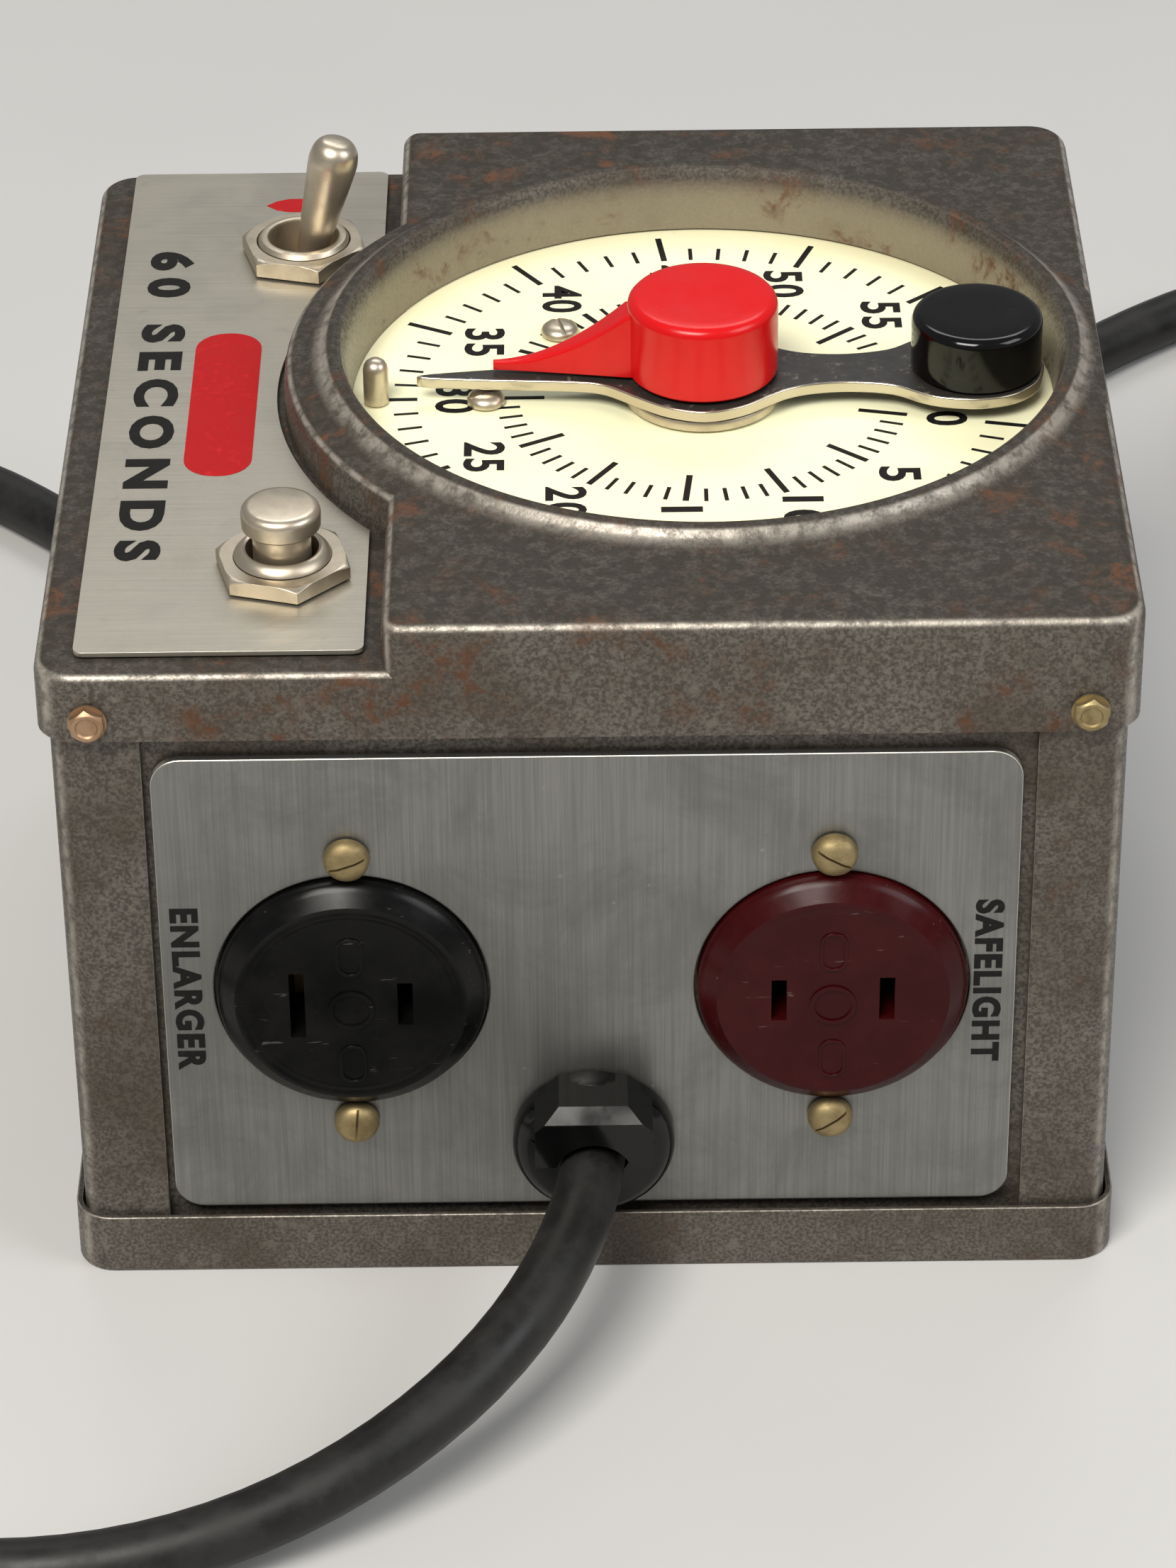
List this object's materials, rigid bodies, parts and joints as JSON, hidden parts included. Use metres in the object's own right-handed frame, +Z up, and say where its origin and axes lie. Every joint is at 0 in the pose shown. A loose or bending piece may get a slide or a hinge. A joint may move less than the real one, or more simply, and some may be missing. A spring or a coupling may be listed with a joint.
{
  "type": "darkroom enlarger timer",
  "caption": "Steel-cased darkroom timer with a round dial well, setting lever, red hand, toggle, start button, switched outlets and a flexible cord.",
  "frame": {"origin": "middle of the case's footprint, on the table", "axes": "+X to the right of the outlet panel, +Y from the outlet panel to the back, +Z up"},
  "size_m": [0.3633, 0.307, 0.1037],
  "materials": {
    "enamel": "warm grey hammertone enamel, worn at the edges",
    "brushed_plate": "brushed, tarnished sheet",
    "zinc_plate": "dull zinc plating",
    "yellow_zinc": "yellow chromate screws",
    "coppery_screw": "coppery, rusted screw",
    "nickel": "warm nickel plating",
    "brass": "machined brass",
    "spring_steel": "blued spring steel",
    "dial_paint": "semi-matt cream paint",
    "lever_paint": "thin black paint over nickel",
    "black_bakelite": "glossy black moulding",
    "maroon_bakelite": "dark red moulding",
    "red_plastic": "glossy bright red moulding",
    "fibre": "brown phenolic fibre",
    "coil_tape": "varnished cotton tape over the coil",
    "lead_sleeving": "cotton covered lead",
    "cord_rubber": "matt black rubber jacket"
  },
  "bodies": {
    "case": {"base_pan": "enamel", "bridge_plate": "zinc_plate", "case_shell": "enamel", "chassis_plate": "zinc_plate", "chassis_post_1": "zinc_plate", "chassis_post_2": "zinc_plate", "chassis_post_3": "zinc_plate", "chassis_post_4": "zinc_plate", "clutch_coil": "coil_tape", "cord_coil": "cord_rubber", "cord_plug": "black_bakelite", "dial": "dial_paint", "dial_bushing": "nickel", "dial_screw_a": "nickel", "dial_screw_b": "nickel", "dial_spacer_a": "brass", "dial_spacer_b": "brass", "front_panel": "enamel", "gearbox": "zinc_plate", "lid": "enamel", "lid_screw_front_left": "coppery_screw", "lid_screw_front_right": "yellow_zinc", "lid_screw_rear_left": "yellow_zinc", "lid_screw_rear_right": "yellow_zinc", "motor_can": "zinc_plate", "name_plate": "brushed_plate", "outlet_lead": "lead_sleeving", "outlet_left": "black_bakelite", "outlet_left_screw_bottom": "yellow_zinc", "outlet_left_screw_top": "yellow_zinc", "outlet_plate": "brushed_plate", "outlet_right": "maroon_bakelite", "outlet_right_screw_bottom": "yellow_zinc", "outlet_right_screw_top": "yellow_zinc", "power_cord": "cord_rubber", "return_spring": "spring_steel", "safelight_lead": "lead_sleeving", "snap_switch": "fibre", "start_lead": "lead_sleeving", "start_nut": "nickel", "start_switch": "nickel", "stop_post": "nickel", "strain_relief": "black_bakelite", "supply_lead": "lead_sleeving", "terminal_strip": "fibre", "toggle_lead": "lead_sleeving", "toggle_nut": "nickel", "toggle_switch": "nickel"},
    "setting_lever": {"setting_lever": "lever_paint", "lever_knob": "black_bakelite", "limit_arm": "zinc_plate"},
    "hand": {"red_hand": "red_plastic", "arbor": "zinc_plate", "trip_arm": "brass", "clutch_disc": "zinc_plate"},
    "clutch_gear": {"clutch_gear": "brass"},
    "motor_pinion": {"motor_pinion": "brass"},
    "toggle_bat": {"toggle_lever": "nickel"},
    "start_button": {"start_button": "nickel"},
    "snap_plunger": {"snap_plunger": "black_bakelite"}
  },
  "joints": [
    {"name": "lever_turn", "type": "hinge", "parent": "case", "child": "setting_lever", "pos_m": [0.0144, 0.0044, 0.088], "axis": [0, 0, 1], "range_deg": [-167, 165]},
    {"name": "hand_turn", "type": "hinge", "parent": "setting_lever", "child": "hand", "pos_m": [0.0144, 0.0044, 0.09], "axis": [0, 0, 1], "range_deg": [0, 168]},
    {"name": "clutch_gear_turn", "type": "hinge", "parent": "case", "child": "clutch_gear", "pos_m": [0.0144, 0.0044, 0.0615], "axis": [0, 0, 1], "continuous": true},
    {"name": "pinion_turn", "type": "hinge", "parent": "case", "child": "motor_pinion", "pos_m": [0.0144, 0.0297, 0.0615], "axis": [0, 0, 1], "continuous": true},
    {"name": "toggle_tilt", "type": "hinge", "parent": "case", "child": "toggle_bat", "pos_m": [-0.0357, 0.0389, 0.084], "axis": [0, 1, 0], "range_deg": [-28, 0]},
    {"name": "start_press", "type": "slide", "parent": "case", "child": "start_button", "axis": [0, 0, -1], "range_m": [0, 0.002], "stiffness_N_per_m": 600},
    {"name": "plunger_press", "type": "slide", "parent": "case", "child": "snap_plunger", "axis": [1, 0, 0], "range_m": [0, 0.0008], "stiffness_N_per_m": 300}
  ],
  "couplings": [
    {"joint": "pinion_turn", "follows": "clutch_gear_turn", "ratio": -4}
  ]
}
